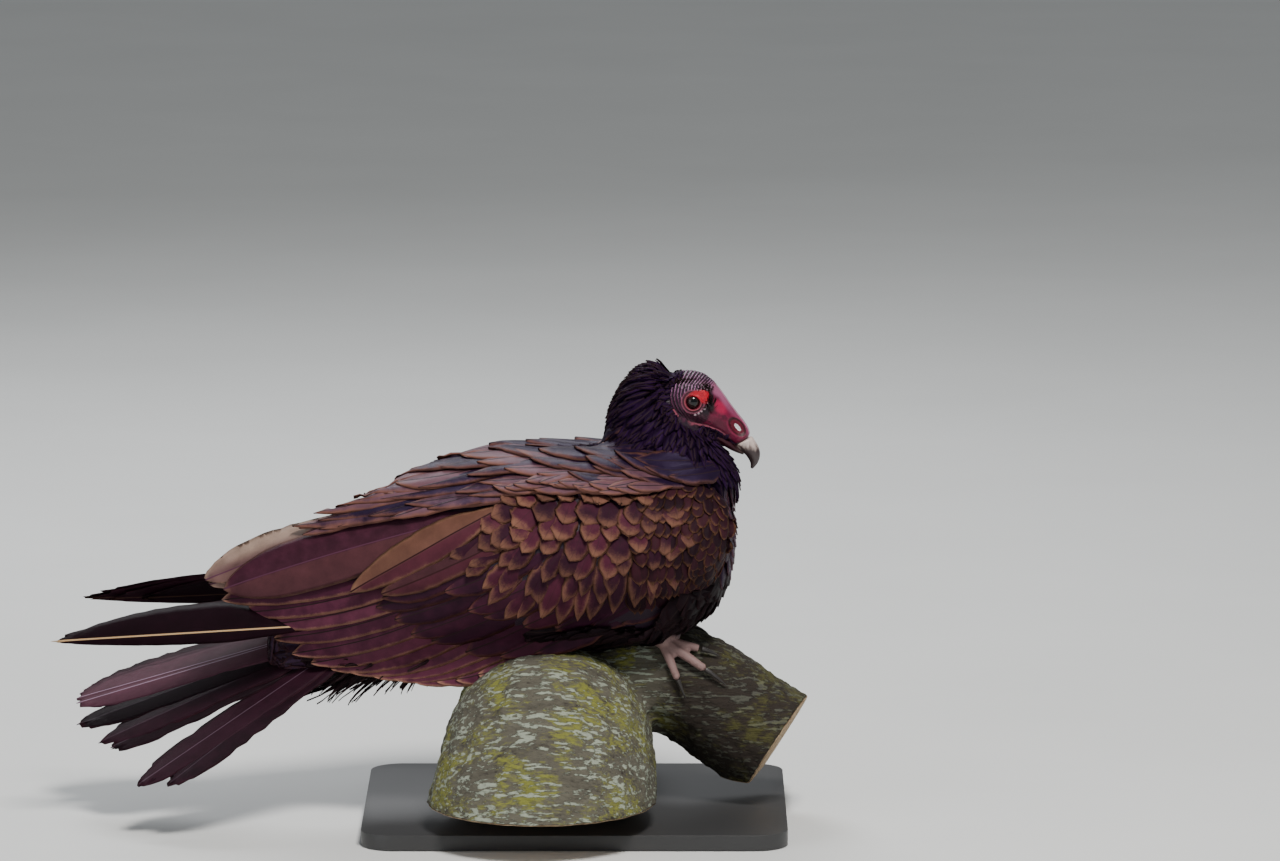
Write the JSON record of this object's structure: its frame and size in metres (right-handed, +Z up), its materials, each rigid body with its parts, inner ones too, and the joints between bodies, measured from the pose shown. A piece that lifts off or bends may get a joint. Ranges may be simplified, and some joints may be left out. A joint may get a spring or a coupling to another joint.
{
  "type": "turkey vulture",
  "caption": "Life-size turkey vulture resting in profile on a cut length of forked bough, held by a plain flat stand.",
  "frame": {"origin": "centre of the underside of the stand's base, on the floor", "axes": "+X the way the bird faces, +Y the bird's left, +Z up"},
  "size_m": [0.5858, 0.3493, 0.359],
  "materials": {
    "plumage": "blackish brown body feathers with a faint purple sheen",
    "wing_plumage": "brown wing coverts and tertials with paler tan edges",
    "flight_feather": "satin dark brown flight and tail feathers with pale shafts",
    "bare_skin": "bare wrinkled red and purple skin, slightly moist",
    "foot_skin": "dull scaly greyish pink skin",
    "bill_horn": "ivory horn with dark streaks, satin",
    "claw_horn": "black horn, satin",
    "eye": "dark brown wet eye",
    "bark": "rough grey-brown bark with moss and lichen, sawn pale end grain",
    "stand_paint": "plain satin dark grey paint"
  },
  "bodies": {
    "root": {"trunk": "plumage", "neck": "plumage", "leg_left": "plumage", "leg_right": "plumage", "wing_left": "wing_plumage", "wing_right": "wing_plumage", "primaries_left": "flight_feather", "primaries_right": "flight_feather", "tail": "flight_feather", "head": "bare_skin", "foot_left": "foot_skin", "foot_right": "foot_skin", "bill_upper": "bill_horn", "bill_lower": "bill_horn", "claw_left_inner": "claw_horn", "claw_left_middle": "claw_horn", "claw_left_outer": "claw_horn", "claw_left_hind": "claw_horn", "claw_right_inner": "claw_horn", "claw_right_middle": "claw_horn", "claw_right_outer": "claw_horn", "claw_right_hind": "claw_horn", "eye_left": "eye", "eye_right": "eye", "perch": "bark", "stand_base": "stand_paint", "stand_rod_front": "stand_paint", "stand_rod_back": "stand_paint"}
  },
  "joints": []
}
